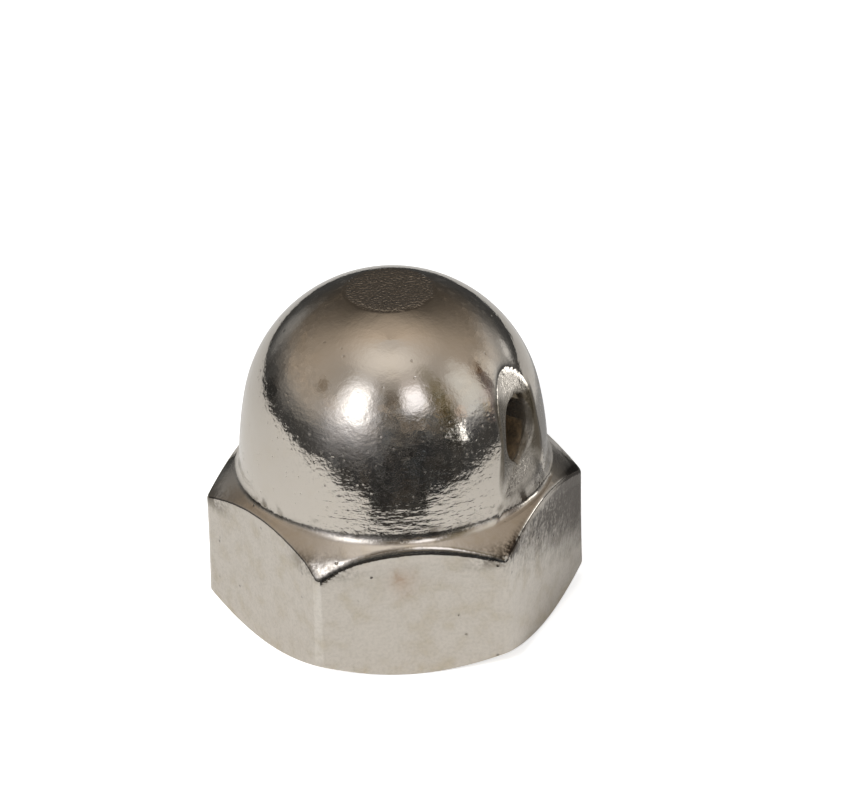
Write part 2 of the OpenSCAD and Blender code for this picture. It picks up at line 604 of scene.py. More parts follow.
    # The place: from radius, height and turn to x, y and z, with the recess, the slot and the struck facet.
    PLACE_RULES = """
# The hexagon's columns crowd at its corners and the dome's at the slot. The shoulder blends the two.
eased = min(max((level - shoulder_band - 0.5) / 2, 0), 1)
settled = eased * eased * (3 - 2 * eased)
crowd = 0.17 * sin(3 * turn) * (1 + cos(3 * turn)) / 2 * less(abs(turn), sixth)
lean_turn = asin((min(z, slot_high_z) - slot_z) * tan(lean) / max(r, 7))
dome_turn = window_turn + turn - crowd + lean_turn
angle = hex_turn + (dome_turn - hex_turn) * settled - window_turn
# Straight on to the recess: out from the axis and across. In the slot's own lean: u aside and w up.
out = r * cos(angle)
across = r * sin(angle)
u = across * cos(lean) - (z - slot_z) * sin(lean)
w = across * sin(lean) + (z - slot_z) * cos(lean)
facing = less(0, out) * less(fillet_band + 0.05, level)
# The sheet parts into a leaf shape, and the skin beside it makes way.
blunt = slot_point - (slot_point - slot_top) * rise(w, -0.6, 0.6)
lens = slot_side * max(1 - (w / slot_half) * (w / slot_half), 0) ** blunt * facing
close_by = less(abs(u), opening) * facing
shift = (slot_shift + slot_slant * w) * rise(abs(w), 3.8, slot_half)
u2 = u + close_by * (lens * (hand - u / opening) + shift * (1 - abs(u) / opening))
across2 = u2 * cos(lean) + w * sin(lean)
z_new = slot_z + w * cos(lean) - u2 * sin(lean)
# The moved skin keeps to the dome's profile.
side_old = side_center + sqrt(max(side_radius * side_radius - (z - hex_height) * (z - hex_height), 0))
ball_old = sqrt(max(ball_radius * ball_radius - (z - ball_z) * (z - ball_z), 0))
side_new = side_center + sqrt(max(side_radius * side_radius - (z_new - hex_height) * (z_new - hex_height), 0))
ball_new = sqrt(max(ball_radius * ball_radius - (z_new - ball_z) * (z_new - ball_z), 0))
skin_old = side_old + (ball_old - side_old) * less(ball_foot_z, z)
skin_new = side_new + (ball_new - side_new) * less(ball_foot_z, z_new)
r_new = r + skin_new - skin_old
out2 = out + close_by * (sqrt(max(r_new * r_new - across2 * across2, 0)) - out)
# The recess: a ring-shaped scoop along the side arc, which widens and fades out downwards.
limit = 0.55 * rise(z_new, recess_fade_to, recess_fade_from)
below = max(-w, 0)
off = u2 / (1 + recess_widen * below)
dip = recess_reach - sqrt(max(recess_radius * recess_radius - off * off, 0))
far = w + slot_z - hex_height
scoop = max(side_center + sqrt(max(dip * dip - far * far, 0)), out2 - limit) + far_away * (1 - facing)
# The slot's rolled lip, and its wall.
past = max(abs(w) - slot_half, 0)
beside = max(abs(u2 - shift) - lens, 0)
rim_gap = sqrt(past * past + beside * beside) + far_away * (1 - facing)
rolled = max(lip_round - rim_gap, 0)
lip = lip_round - sqrt(max(lip_round * lip_round - rolled * rolled, 0))
skin = soft_min(out2, scoop, recess_edge + 0.2 * rise(z_new, 10.6, 9)) - lip
out3 = skin + (wall_end - skin) * inward
# Back to the nut's own axes, less what lies beyond the struck facet.
x_full = out3 * cos(window_turn) - across2 * sin(window_turn)
y_full = out3 * sin(window_turn) + across2 * cos(window_turn)
toward_struck = (x_full * cos(struck_turn) + y_full * sin(struck_turn)) * cos(struck_rise)
beyond = toward_struck + z_new * sin(struck_rise) - struck_at
over = max((beyond + sqrt(beyond * beyond + 0.018)) / 2 - 0.004, 0) * less(z_new, 7.5)
x = x_full - over * cos(struck_rise) * cos(struck_turn)
y = y_full - over * cos(struck_rise) * sin(struck_turn)
z_last = z_new - over * sin(struck_rise)
"""

    def tree(self, material: bpy.types.Material) -> bpy.types.NodeTree:
        """Build the tree that shapes the pattern, cuts the tapped hole and dresses the result.

        Args:
            material: The finish of the whole nut.

        Returns:
            The tree, with a named input for each size.
        """
        tree, known = open_tree("cap nut", self.sizes(), takes_mesh=True)
        for name in MARKS:
            asked = add(tree, "GeometryNodeInputNamedAttribute", {"Name": name}, data_type="FLOAT")
            known[name] = asked.outputs[0]
        known |= {f"{band.name.lower()}_band": float(band) for band in Band}
        known |= {"quarter": QUARTER, "sixth": SIXTH, "flat_turn": -SIXTH / 2, "far_away": 9.0}
        named = work_out(tree, self.RULES, known)
        for axis in "rz":
            pick = add(tree, "GeometryNodeIndexSwitch", data_type="FLOAT")
            while len(pick.index_switch_items) < len(Band):
                pick.index_switch_items.new()
            tree.links.new(named["band"], pick.inputs[0])
            for band in Band:
                tree.links.new(named[f"{axis}{band.value}"], pick.inputs[1 + band.value])
            named[axis] = pick.outputs[0]
        named = work_out(tree, self.PLACE_RULES, named)
        spot = add(tree, "ShaderNodeCombineXYZ", {0: named["x"], 1: named["y"], 2: named["z_last"]})
        blank = add(tree, "GeometryNodeSetPosition", {"Geometry": known["mesh"], "Position": spot.outputs[0]})
        cutter = add(tree, "GeometryNodeGroup", node_tree=self.hole.tree())
        feeds = {"Mesh 1": blank.outputs[0], "Mesh 2": cutter.outputs[0]}
        bored = add(tree, "GeometryNodeMeshBoolean", feeds, operation="DIFFERENCE", solver="MANIFOLD")
        small = add(tree, "GeometryNodeTransform", {"Geometry": bored.outputs[0], "Scale": (MM, MM, MM)})
        smooth = add(tree, "GeometryNodeSetShadeSmooth", {"Geometry": small.outputs[0], "Shade Smooth": True})
        bend = add(tree, "GeometryNodeInputMeshEdgeAngle")
        named["bend"] = bend.outputs[0]
        named = work_out(tree, "crisp = less(crisp_from, bend)\nflowing = 1 - crisp", named)
        feeds = {"Geometry": smooth.outputs[0], "Selection": named["crisp"], "Shade Smooth": named["flowing"]}
        edged = add(tree, "GeometryNodeSetShadeSmooth", feeds, domain="EDGE")
        real = add(tree, "GeometryNodeRealizeInstances", {0: edged.outputs[0]})
        dressed = add(tree, "GeometryNodeSetMaterial", {"Geometry": real.outputs[0], "Material": material})
        add(tree, "NodeGroupOutput", {0: dressed.outputs[0]})
        return tree

    def build(self, material: bpy.types.Material) -> bpy.types.Object:
        """Make the nut as one plain closed mesh.

        Args:
            material: The finish of the whole nut.

        Returns:
            The finished piece, in metres, with its place in its mesh.
        """
        piece = self.pattern()
        bpy.context.scene.collection.objects.link(piece)
        modifier = piece.modifiers.new("shape", "NODES")
        modifier.node_group = self.tree(material)
        sizes = self.sizes()
        for item in modifier.node_group.interface.items_tree:
            if item.in_out == "INPUT" and item.name in sizes:
                modifier[item.identifier] = sizes[item.name]
        shaped = piece.evaluated_get(bpy.context.evaluated_depsgraph_get())
        mesh = bpy.data.meshes.new_from_object(shaped)
        piece.modifiers.clear()
        piece.data = mesh
        mesh.name = piece.name
        # The cut may leave an empty material slot, so the mesh gets its one slot anew.
        mesh.polygons.foreach_set("material_index", np.zeros(len(mesh.polygons), np.int32))
        mesh.materials.clear()
        mesh.materials.append(material)
        for name in MARKS:
            if name in mesh.attributes:
                mesh.attributes.remove(mesh.attributes[name])
        return piece


@dataclass(frozen=True)
class Pattern:
    """A noise or a scatter of cells, which breaks up the finish.

    Its size is that of its features, in millimetres, squeezed by so much along x, y and z.
    """

    size: float
    squeeze: Point = (1, 1, 1)
    detail: float = 3.0

    @property
    def scale(self) -> float:
        """How many of its features go into a millimetre."""
        return 1 / self.size


@dataclass(frozen=True)
class NickelPlating:
    """Bright nickel plate on a forged blank: a warm grey mirror on the dome, softer on the hexagon.

    The blank was tumbled before plating, so the plate follows its fine grain, the ripples that forging
    left round the dome's base and the small pits of the flats. Wear, dirt and painted light lie over it: a
    painted highlight on the corners and the struck facet, painted shade along the dome's crease, darker
    corner tops under the rim, a scuff with painted shade on the upper right flat, a rust spot in front,
    grease and painted shade in the recess with darker patches below it, and rust in the slot, whose upper
    wall is painted lighter and whose lower wall is painted darker, to even out the overhead spot's shadow.
    """

    nut: CapNut
    plate: str = "#D5CEC4"
    tarnish: str = "#C6B797"
    stain: str = "#A87E52"
    rust: str = "#8E785C"
    # Painted light on the slot's upper wall, which lies in the overhead spot's shadow, takes this colour.
    old_oil: str = "#E2D5BF"
    # The recess's grease and painted shade take this colour.
    grease: str = "#4D4331"
    # Smut, and the painted shade in the crease, on the right flat and in the slot, take this colour.
    smut: str = "#4A4239"
    # The painted highlight on the hexagon's corners and on the struck facet takes this colour.
    rubbed: str = "#E6E0D7"
    polish: float = 0.055
    satin: float = 0.2
    streak_lean: float = math.radians(66.0)

    # Where each part and each mark of the nut lies: 1 where it is, 0 elsewhere.
    # Grease and painted shade lie in an oval round the slot, but not on the slot's right lip, and patches
    # below it are painted darker.
    # The band of the slot's wall that is painted lighter, where the overhead spot leaves it in shadow.
    # The streaks of the scuff and painted shade on the right flat, and the rust spot on the front flat.
    # The struck corner and the corners' edges get a painted highlight, stronger on the left, and the corner
    # tops just under the rim are painted darker.
    PLACES = """
# Straight on to the recess: out from the axis and across. In the slot's own lean: u aside and w up.
radius = sqrt(x * x + y * y)
out = x * cos(window_turn) + y * sin(window_turn)
across = y * cos(window_turn) - x * sin(window_turn)
u = across * cos(lean) - (z - slot_z) * sin(lean)
w = across * sin(lean) + (z - slot_z) * cos(lean)
lens = slot_side * max(1 - (w / slot_half) * (w / slot_half), 0) ** 0.6
# The recess and the slot's wall are known by how deep they lie under the plain dome.
side = side_center + sqrt(max(side_radius * side_radius - (z - hex_height) * (z - hex_height), 0))
ball = sqrt(max(ball_radius * ball_radius - (z - ball_z) * (z - ball_z), 0))
skin = side + (ball - side) * less(ball_foot_z, z)
depth = (skin - radius) * less(hex_height + 0.6, z) * less(z, 15.4)
window = less(0, out) * less(abs(u), 2)
scooped = rise(depth, 0.04, 0.16) * window
inside = less(radius, 4.9) * rise(z, 9.4, 10) * less(z, 16.2)
slot_wall = max(rise(depth, 0.62, 0.8) * window * less(abs(u), 1.3), inside)
# Grease lies in an oval round the slot, but not on the slot's right lip, and a grey film lies below it.
oval_u = abs(u) / (2 + 0.2 * max(slot_z - z, 0))
oval_w = abs(z - 11.7) / 3.3
dirty = rise(oval_u ** 4 + oval_w ** 4, 1, 0.7) * less(0, out)
right_lip = rise(abs(u - lens - 0.3), 0.3, 0.12) * rise(abs(w), slot_half, 1) * less(0, out)
under_recess = less(0, out) * rise(abs(u - 0.2), 2.5, 1.5) * rise(z, 9.1, 8.7) * rise(z, 7.6, 8)
oiled = rise(z, 11.2, 12.4) * rise(z, 13.2, 12.9)
# The struck corner and the corners' edges are rubbed bright, and dirt gathers above them.
struck = exp(-((x + 4.75) ** 2 + (y + 8.23) ** 2 + (z - 6.95) ** 2) * 4)
worn_corner = rise(radius, 9.65, 9.71) * rise(z, 7, 6) * rise(z, 0.8, 1.5) * (0.15 + 0.6 * less(x, 0))
rubbed = max(worn_corner, struck)
corner_dirt = rise(radius, 8.7, 9.5) * rise(z, 5.8, 6.6) * (1 - rise(z, 7.6, 7.9))
# The parts of the nut: the dome and its low part, the crown, the crease, the flats and the rim.
dome = rise(z, hex_height + 0.1, hex_height + 0.5)
crown = rise(z, top - 0.2, top - 0.04)
low = rise(z, 12.4, 8.6) * dome
toward_front = 0.4 + 0.6 * rise(-y / radius, 0.5, 0.97)
crease = rise(abs(z - 8.25), 0.5, 0.1) * rise(radius, 9, 8.7)
flat = rise(z, 7.6, 7.0) * rise(radius, 7, 8)
along = (x + sqrt(3) * y) / 2
hex_reach = max(abs(y), (sqrt(3) * abs(x) + abs(y)) / 2)
under_cone = hex_height - (radius - dome_radius) * tan(shoulder) - z
near_rim = rise(hex_reach, half - 0.75, half - 0.35)
rim = near_rim * rise(under_cone, 0.9, 0.5) * rise(under_cone, -0.3, -0.1)
right_flat = flat * rise((sqrt(3) * x - y) / 2, half - 0.5, half - 0.2)
# The scuff's streaks, and the rust spot on the front flat.
brushed_across = along * sin(streak_lean) - z * cos(streak_lean)
brushed_along = 0.3 * (along * cos(streak_lean) + z * sin(streak_lean))
stain_off = (x + 0.5) * (x + 0.5) * 3 + (z - 5.7) * (z - 5.7) * 2
stain_spot = exp(-stain_off) * less(y, -8)
"""
    # The real grain of a tumbled blank is finer. It is drawn at a sixth of a millimetre, so that it shows.
    NOISES = {
        "grain": Pattern(0.1667),
        "peel": Pattern(0.667, (1, 1, 1.4)),
        "ripple": Pattern(0.769, (1, 1, 3.4)),
        "swell": Pattern(2.857, detail=1.0),
        "patch": Pattern(0.909, detail=4.0),
    }
    STREAKS = Pattern(0.2, detail=2.0)
    CELLS = {"speck": Pattern(0.3125), "pit": Pattern(0.909)}

    # How high each point stands, in millimetres, how rough it is, and how much of each colour covers it.
    # Grease and painted shade darken the recess most along its edge and on its right, and less at its top and
    # foot.
    # Painted shade along the dome's crease, and darker patches at the corner tops and below the recess.
    # The dome's side is frosted in fine specks. The scuff and painted shade on the right flat's upper part
    # end downwards in a ragged edge.
    # The grease and painted shade of the recess also take away some of its metal.
    # The slot's upper wall, in the overhead spot's shadow, is painted lighter, and its lower wall, which the
    # spot lights, is painted darker under specks of soot.
    # What covers the plate: the streaked scuff with painted shade, painted shade in the crease, darker corner
    # tops and patches, a thin haze, pits, and in the slot painted light, soot and painted shade.
    SURFACE = """
# Small specks, and pits that only some of the cells have.
pick = rise(speck_kind, 0.5, 0.9)
speck = pick * exp(-20 * speck_cell * speck_cell)
pit_edge = rise(pit_cell, 0.05 + 0.1 * pit_kind, 0.01 + 0.04 * pit_kind)
pit = rise(pit_kind, 0.4, 0.5) * pit_edge * (1 - 0.5 * dome) * rise(grain, 0.3, 0.5)
# The crown was turned flat and is rough, and the dome's foot keeps the ripples of the forging.
cut = crown * rise(radius + 0.5 * (patch - 0.5), crown_radius + 0.15, crown_radius - 0.1)
rough_crown = cut * (0.09 * (grain - 0.5) - 0.03 * speck)
forged = 0.05 * low ** 3 * toward_front * (ripple - 0.5) + 0.015 * crease * (grain - 0.5)
beaten = (0.03 * crease + 0.018 * rim) * (patch - 0.5) * (1 - struck)
# The recess is uneven. The rest has its grain, its orange peel and a slow swell.
worked = scooped * (0.03 * (grain - 0.5) + 0.05 * (patch - 0.5))
fine = 0.003 + 0.003 * dome * rise(z, 15.4, 13.6) + 0.003 * flat
rolling = 0.006 + (0.006 + 0.008 * rise(z, 15, 13)) * dome
even = fine * (grain - 0.5) + rolling * (peel - 0.5) + 0.02 * (swell - 0.5)
dented = 0.016 * pit + (0.006 * dome * rise(z, 15.2, 13.4) + 0.001) * speck
height = rough_crown + forged + beaten + worked + even - dented * (1 - struck)
# Grease is caked along the recess's edge and on its right, and thins out at its top and foot.
edge_line = rise(depth, 0, 0.02) * rise(depth, 0.16, 0.08) * rise(z, 9, 10)
caked = 0.36 + 0.5 * rise(z, 9.3, 10.6) + 0.35 * rise(u, 1, 1.6) + 0.2 * edge_line - 0.4 * right_lip
below_top = rise(z + 0.8 * (patch - 0.5) - 0.6 * rise(-u, 0.5, 1.4), 13.9, 13)
recess_dirt = dirty * below_top * min(caked + 0.5 * (patch - 0.5) + 0.3 * (grain - 0.5), 0.95)
# The dome's side is frosted in fine specks, and the scuff ends downwards in a ragged edge.
frost = dome * rise(z, 15.4, 13.6) * (1 - dirty) * (0.35 * rise(grain, 0.42, 0.66) + 0.8 * speck)
ragged = 1.2 * (streak - 0.5) + 1.5 * (patch - 0.5)
scuffed = right_flat * rise(z + 0.45 * along + ragged, 2.8, 6.4)
satin_here = (satin - polish) * (1 - dome) * (1 - rim) + 0.05 * cut + 0.08 * scuffed
in_recess = 0.16 * scooped + 0.3 * slot_wall
roughness = max(polish + satin_here + in_recess + 0.04 * (patch - 0.5) + 0.34 * frost, 0.03) + 0.1 * struck
# What covers the plate: the streaked scuff, grime, a thin haze, and old oil and soot in the slot.
scuff = scuffed * min(0.88 + 0.08 * along + 1.2 * (streak - 0.5) + 1.2 * (grain - 0.5), 0.94)
grime = crease * rise(patch, 0.48, 0.7) + corner_dirt * rise(patch + 0.5 * grain, 0.6, 0.85)
grimy = 0.6 * grime + under_recess * (0.5 + 0.8 * (patch - 0.5) + 0.6 * (grain - 0.5))
hazed = flat * (0.09 * rise(grain, 0.4, 0.65) + 0.06 * rise(patch, 0.3, 0.7))
oil = slot_wall * oiled * (0.5 + 0.5 * rise(patch, 0.35, 0.6))
slot_soot = slot_wall * (0.3 * rise(grain, 0.45, 0.62) + 0.5 * rise(patch, 0.42, 0.56) * rise(z, 12.6, 11.6))
smutted = min(max(grimy + hazed + pit * 0.6 + scuff + slot_soot, 0), 1)
# What tints the plate, and where it is no longer bare metal.
stained = stain_spot * (0.35 + 0.5 * rise(patch, 0.4, 0.6))
yellowed = 0.3 * rise(z, 1.2, 0.2) * rise(patch, 0.35, 0.65)
tarnished = yellowed + (0.35 - 0.25 * dome) * rise(patch, 0.45, 0.8)
metal = 1 - 0.9 * slot_wall - 0.5 * recess_dirt * (1 - slot_wall)
"""

    def texture(
        self, tree: bpy.types.NodeTree, spot: bpy.types.NodeSocket, known: Mapping[str, Value]
    ) -> dict[str, Value]:
        """Lay the noises and the cells that break up the surface.

        Args:
            tree: The material's tree.
            spot: The point's place, in millimetres.
            known: The places on the nut, by name.

        Returns:
            The strength of each noise at the point, and its distance from each cell and that cell's kind.
        """
        found = {}
        for name, pattern in self.NOISES.items():
            feeds = {0: spot, 1: pattern.squeeze}
            squeezed = add(tree, "ShaderNodeVectorMath", feeds, operation="MULTIPLY").outputs[0]
            feeds = {"Vector": squeezed, "Scale": pattern.scale, "Detail": pattern.detail}
            found[name] = add(tree, "ShaderNodeTexNoise", feeds, normalize=True).outputs[0]
        lean = add(tree, "ShaderNodeCombineXYZ", {0: known["brushed_across"], 1: known["brushed_along"]})
        feeds = {"Vector": lean.outputs[0], "Scale": self.STREAKS.scale, "Detail": self.STREAKS.detail}
        found["streak"] = add(tree, "ShaderNodeTexNoise", feeds, normalize=True).outputs[0]
        for name, pattern in self.CELLS.items():
            cells = add(tree, "ShaderNodeTexVoronoi", {"Vector": spot, "Scale": pattern.scale})
            kind = add(tree, "ShaderNodeSeparateColor", {0: cells.outputs["Color"]})
            found |= {f"{name}_cell": cells.outputs["Distance"], f"{name}_kind": kind.outputs[0]}
        return found

    def colour(self, tree: bpy.types.NodeTree, known: Mapping[str, Value]) -> bpy.types.NodeSocket:
        """Lay the colours of wear and dirt over the plate's, one by one.

        Args:
            tree: The material's tree.
            known: How much of each colour covers the point, by name.

        Returns:
            The socket that gives the colour.
        """
        colour = linear(self.plate)
        for part, over in (
            ("rubbed", self.rubbed),
            ("tarnished", self.tarnish),
            ("stained", self.stain),
            ("recess_dirt", self.grease),
            ("slot_wall", self.rust),
            ("oil", self.old_oil),
            ("smutted", self.smut),
        ):
            feeds = {0: known[part], 6: colour, 7: linear(over)}
            colour = add(tree, "ShaderNodeMix", feeds, data_type="RGBA").outputs[2]
        return colour

    def material(self) -> bpy.types.Material:
        """Build the finish as a material that reads the point's place on the nut.

        Returns:
            The material of the whole nut.
        """
        material = bpy.data.materials.new("bright nickel plate, barrel plated")
        material.use_nodes = True
        tree = material.node_tree
        feeds = {0: add(tree, "ShaderNodeTexCoord").outputs["Object"], 1: (1 / MM,) * 3}
        spot = add(tree, "ShaderNodeVectorMath", feeds, operation="MULTIPLY").outputs[0]
        xyz = add(tree, "ShaderNodeSeparateXYZ", {0: spot})
        known = self.nut.sizes() | {"x": xyz.outputs[0], "y": xyz.outputs[1], "z": xyz.outputs[2]}
        known |= {"polish": self.polish, "satin": self.satin, "streak_lean": self.streak_lean}
        known = work_out(tree, self.PLACES, known)
        known = work_out(tree, self.SURFACE, known | self.texture(tree, spot, known))
        bump = add(tree, "ShaderNodeBump", {"Strength": 1.0, "Distance": MM, "Height": known["height"]})
        shader = tree.nodes["Principled BSDF"]
        tree.links.new(known["metal"], shader.inputs["Metallic"])
        tree.links.new(self.colour(tree, known), shader.inputs["Base Color"])
        tree.links.new(known["roughness"], shader.inputs["Roughness"])
        tree.links.new(bump.outputs[0], shader.inputs["Normal"])
        return material


def show_to_metal_only(piece: bpy.types.Object) -> None:
    """Hide a piece of the studio from every ray but the mirrored ones."""
    for kind in ("camera", "diffuse", "transmission", "volume_scatter", "shadow"):
        setattr(piece, f"visible_{kind}", False)


@dataclass(frozen=True)
class Glow:
    """A patch of light in the room, or of shade where its colour is negative.

    It is placed by its direction from the nut, in degrees: azimuth 0 is towards the camera and positive is
    to the right. A higher edge makes its outline crisper, and ragged breaks the outline up.
    """

    azimuth: float
    elevation: float
    half_width: float
    half_height: float
    red: float
    green: float
    blue: float
    edge: float = 3.0
    ragged: float = 0.0


@dataclass
class Room:
    """The dim studio room that the metal mirrors: warm grey walls, a lighter ceiling, soft boxes.

    The room is a ball whose middle lies at height above the table. Its sizes are in metres.
    """

    radius: float = 0.9
    height: float = 0.012
    darkest: float = 0.015
    clutter_size: float = 0.045
    hue_size: float = 0.18
    glows: tuple[Glow, ...] = (
        # The soft box on the left, its brighter middle, and its spill on the wall below.
        Glow(-34, 34, 17, 18, 1.05, 1.08, 1.18),
        Glow(-32, 34, 9, 11, 1.1, 1.1, 1.1),
        Glow(-36, 14, 24, 18, 0.28, 0.28, 0.30),
        # The soft box in front on the right, the dark gap to its left, and the haze over it.
        Glow(22, 39, 11, 9.5, 1.15, 1.18, 1.3),
        Glow(-1, 42, 7, 6, -0.14, -0.14, -0.14),
        Glow(22, 48, 12, 9, 0.22, 0.20, 0.20),
        # The pale ragged screen on the right, and the wall behind and under it.
        Glow(73, 28, 14, 18, 0.36, 0.39, 0.40, 4.0, 0.8),
        Glow(104, 20, 6, 12, 0.14, 0.15, 0.15),
        Glow(64, 10, 10, 8, 0.18, 0.18, 0.19),
        # Two small bright things low on the right, with a warm one over them and a dark one beside them.
        Glow(54, 6, 2.2, 6, 2.2, 2.2, 2.2, 6.0, 0.6),
        Glow(44, 8, 1.4, 2.2, 1.3, 1.3, 1.3),
        Glow(58, 18, 4, 3.5, 0.30, 0.20, 0.14, 3.0, 1.0),
        Glow(65, 6, 5, 5, -0.12, -0.12, -0.12, 5.0),
        # The lit strip of the ceiling, and the wall far on the right.
        Glow(-8, 69, 66, 12, 0.36, 0.345, 0.33),
        Glow(114, 14, 22, 12, 0.28, 0.28, 0.28),
        # The dark gap between the right soft box and the screen.
        Glow(46, 34, 8, 24, -0.18, -0.18, -0.21, 3.0, 0.8),
        # Uneven light on the left and behind.
        Glow(-143, 9, 9, 9, 0.16, 0.16, 0.16),
        Glow(-113, 8, 9, 11, -0.04, -0.04, -0.04),
        Glow(-72, 34, 6, 4, -0.16, -0.16, -0.16),
        # The dark jagged thing on the right, and the warm light round its foot.
        Glow(93, 22, 5.5, 11, -0.34, -0.33, -0.30, 6.0, 1.2),
        Glow(85, 11, 6, 8, 0.08, 0.04, 0.04, 6.0, 1.6),
        Glow(82, 9, 4, 4, 0.16, 0.13, 0.04),
        # A small light behind on the right.
        Glow(129, 6, 5, 4, 0.45, 0.45, 0.45),
    )

    WALLS = """
azimuth = atan2(x, -y) * degree
elevation = atan2(z, sqrt(x * x + y * y)) * degree
# Dark floor level, lighter sides, a light ceiling, and busy clutter low down in front.
front = rise(abs(azimuth), 70, 20)
sides = 0.34 * rise(abs(azimuth), 165, 85) * rise(elevation, 0, 22 + 42 * front)
ceiling = 0.4 * rise(elevation, 50, 86) * (1 - 1.6 * sides)
busy = rise(elevation, 48, 25) * (0.2 + 0.8 * front)
things = 1 + busy * 5 * (clutter - 0.5)
walls = 0.06 - 0.03 * front * rise(elevation, 20, 0) + sides + ceiling
level = max(walls * things, 0.01) + busy * 0.3 * rise(clutter, 0.6, 0.68)
# The walls are warmer away from the front, and the clutter has all sorts of hues.
warmth = rise(elevation, 0, 30) * (0.45 + 0.55 * rise(abs(azimuth), 40, 120))
tint = 0.18 * warmth + 0.6 * busy * (hue - 0.5)
red = level * (1 + tint)
green = level
blue = level * (1 - tint)
"""
    LIGHT = """
off_azimuth = abs(fract((azimuth - glow_azimuth) / 360 + 0.5) - 0.5) * 360
off_elevation = abs(elevation - glow_elevation)
aside = max(off_azimuth / glow_half_width + glow_ragged * (clutter - 0.5), 0)
above = max(off_elevation / glow_half_height + glow_ragged * (hue - 0.5), 0)
part = exp(-(aside ** glow_edge) - above ** glow_edge)
red = red + part * glow_red
green = green + part * glow_green
blue = blue + part * glow_blue
"""

    DARKEST = """
red = max(red, darkest)
green = max(green, darkest)
blue = max(blue, darkest)
"""

    def build(self, turn: float) -> bpy.types.Object:
        """Hang the room round the nut, for its reflections only.

        Args:
            turn: How far the room is turned from the nut's own axes.

        Returns:
            The room, which no camera ray sees.
        """
        mesh = bpy.data.meshes.new("room")
        ball = bmesh.new()
        bmesh.ops.create_icosphere(ball, subdivisions=4, radius=self.radius)
        ball.to_mesh(mesh)
        ball.free()
        piece = bpy.data.objects.new("room", mesh)
        piece.location.z = self.height
        piece.rotation_euler.z = turn
        bpy.context.scene.collection.objects.link(piece)
        show_to_metal_only(piece)
        mesh.materials.append(self.material())
        return piece

    def material(self) -> bpy.types.Material:
        """Build the glow of the walls and of what stands before them.

        Returns:
            A material that glows by each point's direction from the room's middle.
        """
        material = bpy.data.materials.new("painted studio walls and soft boxes")
        material.use_nodes = True
        # It lights nothing, so no light is looked for in it.
        material.cycles.emission_sampling = "NONE"
        tree = material.node_tree
        tree.nodes.clear()
        where = add(tree, "ShaderNodeTexCoord").outputs["Object"]
        xyz = add(tree, "ShaderNodeSeparateXYZ", {0: where})
        known = {"x": xyz.outputs[0], "y": xyz.outputs[1], "z": xyz.outputs[2], "degree": math.degrees(1)}
        feeds = {0: where, 1: (1, 1, 2.2)}
        squat = add(tree, "ShaderNodeVectorMath", feeds, operation="MULTIPLY").outputs[0]
        for name, size in (("clutter", self.clutter_size), ("hue", self.hue_size)):
            feeds = {"Vector": squat, "Scale": 1 / size, "Detail": 2.0}
            known[name] = add(tree, "ShaderNodeTexNoise", feeds, normalize=True).outputs[0]
        known = work_out(tree, self.WALLS, known)
        for glow in self.glows:
            known |= {f"glow_{name}": float(value) for name, value in asdict(glow).items()}
            known = work_out(tree, self.LIGHT, known)
        known = work_out(tree, self.DARKEST, known | {"darkest": self.darkest})
        feeds = {0: known["red"], 1: known["green"], 2: known["blue"]}
        colour = add(tree, "ShaderNodeCombineColor", feeds).outputs[0]
        shine = add(tree, "ShaderNodeEmission", {"Color": colour, "Strength": 1.0})
        add(tree, "ShaderNodeOutputMaterial", {"Surface": shine.outputs[0]})
        return material


@dataclass(frozen=True)
class Card:
    """A small upright card that faces the nut: its direction in degrees, its place and size in millimetres.

    Its level is its brightness, 1 for white. It fades out towards its edges. Where its low edge lies under
    the table top, the table hides that fade, and the card seems to stand on the table.
    """

    azimuth: float
    distance: float
    half_width: float
    low: float
    high: float
    level: float


